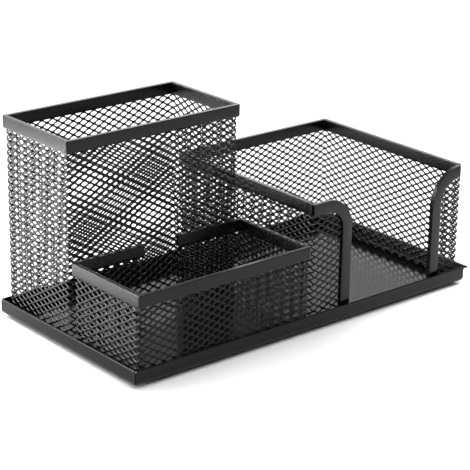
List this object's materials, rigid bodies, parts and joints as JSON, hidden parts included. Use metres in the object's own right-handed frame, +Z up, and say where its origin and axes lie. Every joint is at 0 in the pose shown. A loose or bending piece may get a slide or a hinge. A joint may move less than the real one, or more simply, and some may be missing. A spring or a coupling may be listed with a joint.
{
  "type": "desk organizer",
  "caption": "Black steel-mesh desk organizer: a low tray carrying a tall pen cup, a short open box and a memo box that is open at the front, all with folded channel rims.",
  "frame": {"origin": "centre of the outline at table level, under the pads", "axes": "+X to the right along the front, +Y to the back, +Z up"},
  "size_m": [0.2074, 0.1054, 0.0988],
  "materials": {
    "tray_paint": "semi-gloss black powder coat",
    "mesh_paint": "semi-gloss black powder coat",
    "channel_paint": "semi-gloss black powder coat",
    "pad_rubber": "matt black"
  },
  "bodies": {
    "root": {"base_tray": "tray_paint", "foot_pad_front_left": "pad_rubber", "foot_pad_front_right": "pad_rubber", "foot_pad_back_left": "pad_rubber", "foot_pad_back_right": "pad_rubber", "pen_cup_front_mesh": "mesh_paint", "pen_cup_back_mesh": "mesh_paint", "pen_cup_left_mesh": "mesh_paint", "pen_cup_right_mesh": "mesh_paint", "small_box_front_mesh": "mesh_paint", "small_box_left_mesh": "mesh_paint", "small_box_right_mesh": "mesh_paint", "small_box_back_left_mesh": "mesh_paint", "small_box_back_right_mesh": "mesh_paint", "memo_box_left_mesh": "mesh_paint", "memo_box_back_mesh": "mesh_paint", "memo_box_right_mesh": "mesh_paint", "memo_box_front_left_mesh": "mesh_paint", "memo_box_front_right_mesh": "mesh_paint", "pen_cup_rim": "channel_paint", "small_box_rim": "channel_paint", "memo_box_rim": "channel_paint", "memo_box_front_left_trim": "channel_paint", "memo_box_front_right_trim": "channel_paint"}
  },
  "joints": []
}
